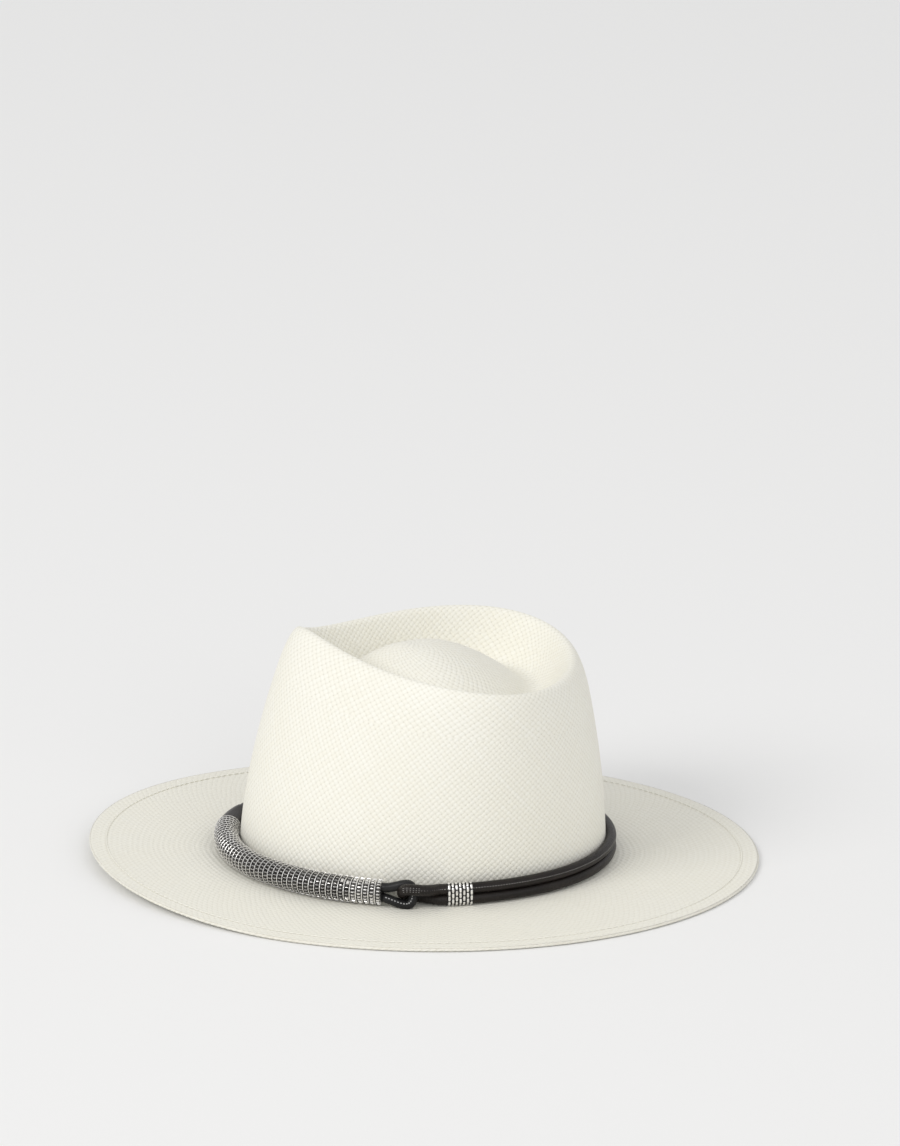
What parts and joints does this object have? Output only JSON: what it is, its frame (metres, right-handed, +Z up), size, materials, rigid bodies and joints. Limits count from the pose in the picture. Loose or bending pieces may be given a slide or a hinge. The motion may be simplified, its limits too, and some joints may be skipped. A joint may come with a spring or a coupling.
{
  "type": "panama hat",
  "caption": "Wide-brimmed woven straw hat with a teardrop crown, a leather sweatband and a removable beaded rope and leather cord band.",
  "frame": {"origin": "under the middle of the brim, on the plane that the brim's edge lies on", "axes": "+Z up, -Y towards the front of the hat, +X towards the wearer's left"},
  "size_m": [0.303, 0.362, 0.1302],
  "materials": {
    "straw": "woven natural straw, matt",
    "straw_thread": "waxed thread",
    "sweatband_leather": "smooth, satin",
    "clear_reed": "satin",
    "tape_cloth": "plain weave",
    "bow_ribbon": "ribbed ribbon, satin",
    "rope_lining": "smooth, satin",
    "metal_beads": "facetted, bright",
    "black_leather": "fine grain, satin",
    "seam_thread": "waxed thread",
    "brown_leather": "fine grain, satin",
    "filler_cotton": "twisted cotton"
  },
  "bodies": {
    "hat": {"straw_body": "straw", "hem_stitching": "straw_thread", "sweatband": "sweatband_leather", "sweatband_reed": "clear_reed", "reed_tape": "tape_cloth", "sweatband_stitching": "straw_thread", "rear_joint_gauze": "tape_cloth", "bow_loops": "bow_ribbon", "bow_knot": "bow_ribbon"},
    "hat_band": {"rope_core": "rope_lining", "rope_bead_rings": "metal_beads", "rope_front_end": "black_leather", "rope_rear_loop": "black_leather", "rope_loop_seam": "seam_thread", "leather_cord": "brown_leather", "cord_filler": "filler_cotton"},
    "collar": {"collar_sleeve": "black_leather", "collar_bead_rings": "metal_beads"}
  },
  "joints": [
    {"name": "band_lift", "type": "slide", "parent": "hat", "child": "hat_band", "axis": [0, 0, 1], "range_m": [0, 0.14]},
    {"name": "collar_slide", "type": "hinge", "parent": "hat_band", "child": "collar", "pos_m": [-0.02448, -0.00275, 0.00912], "axis": [0, 0, 1], "range_deg": [-1, 14]}
  ]
}
